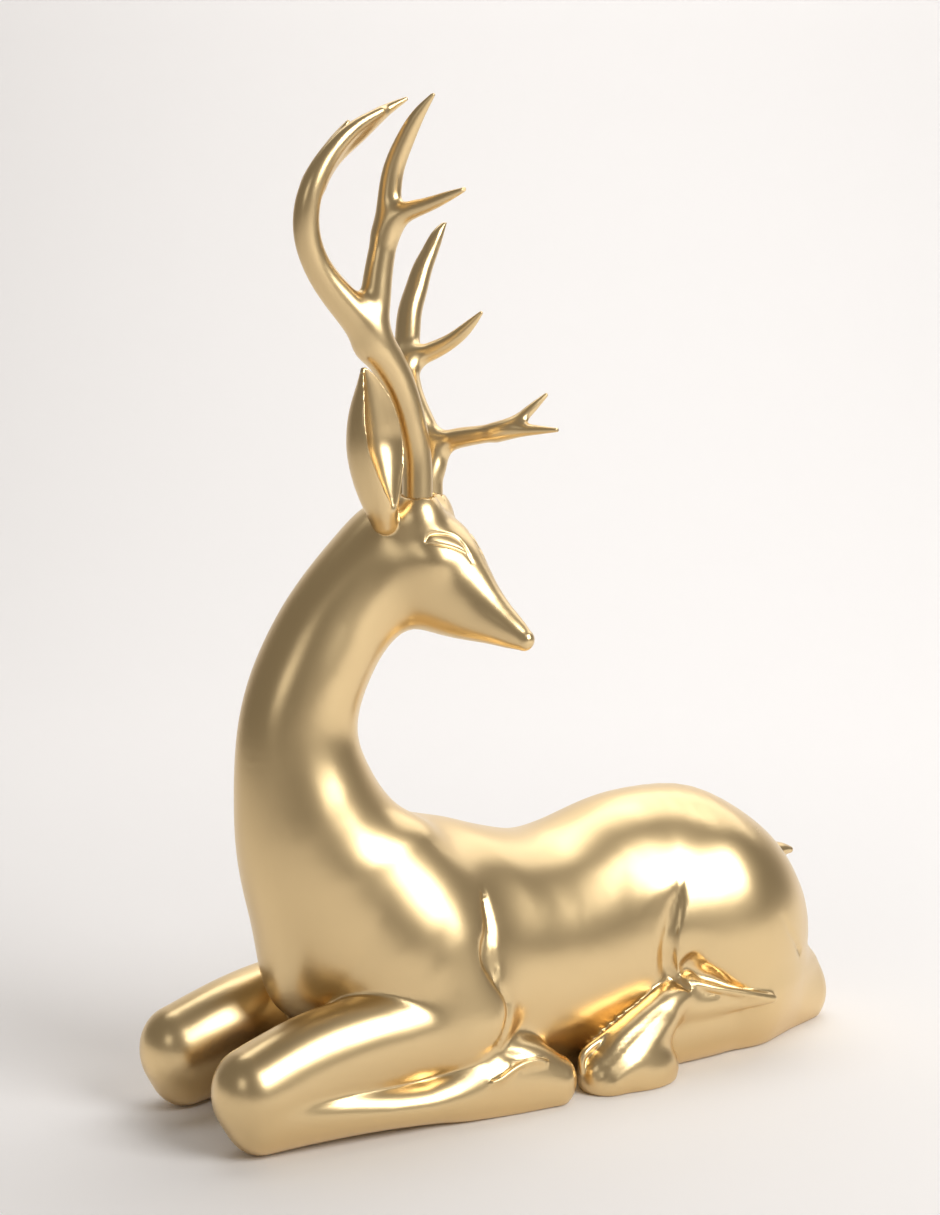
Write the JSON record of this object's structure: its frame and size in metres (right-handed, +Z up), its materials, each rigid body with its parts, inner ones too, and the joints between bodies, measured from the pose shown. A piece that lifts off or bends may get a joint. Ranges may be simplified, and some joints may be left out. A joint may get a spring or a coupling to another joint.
{
  "type": "reindeer figurine",
  "caption": "Reclining reindeer figurine looking back over its shoulder, with branched antlers and folded legs, in a smooth satin gold finish; a table or mantel ornament.",
  "frame": {"origin": "centre of the figure's bounding box, on the plane it lies on", "axes": "the body runs along X with the chest towards -X and the tail towards +X; the animal's left side is -Y, where the head is turned; +Z is up, along the figure's height"},
  "size_m": [0.316, 0.1222, 0.3894],
  "materials": {
    "satin_gold": "satin metallic gold lacquer over a cast body"
  },
  "bodies": {
    "root": {"deer_figure": "satin_gold", "right_antler": "satin_gold", "left_antler": "satin_gold"}
  },
  "joints": []
}
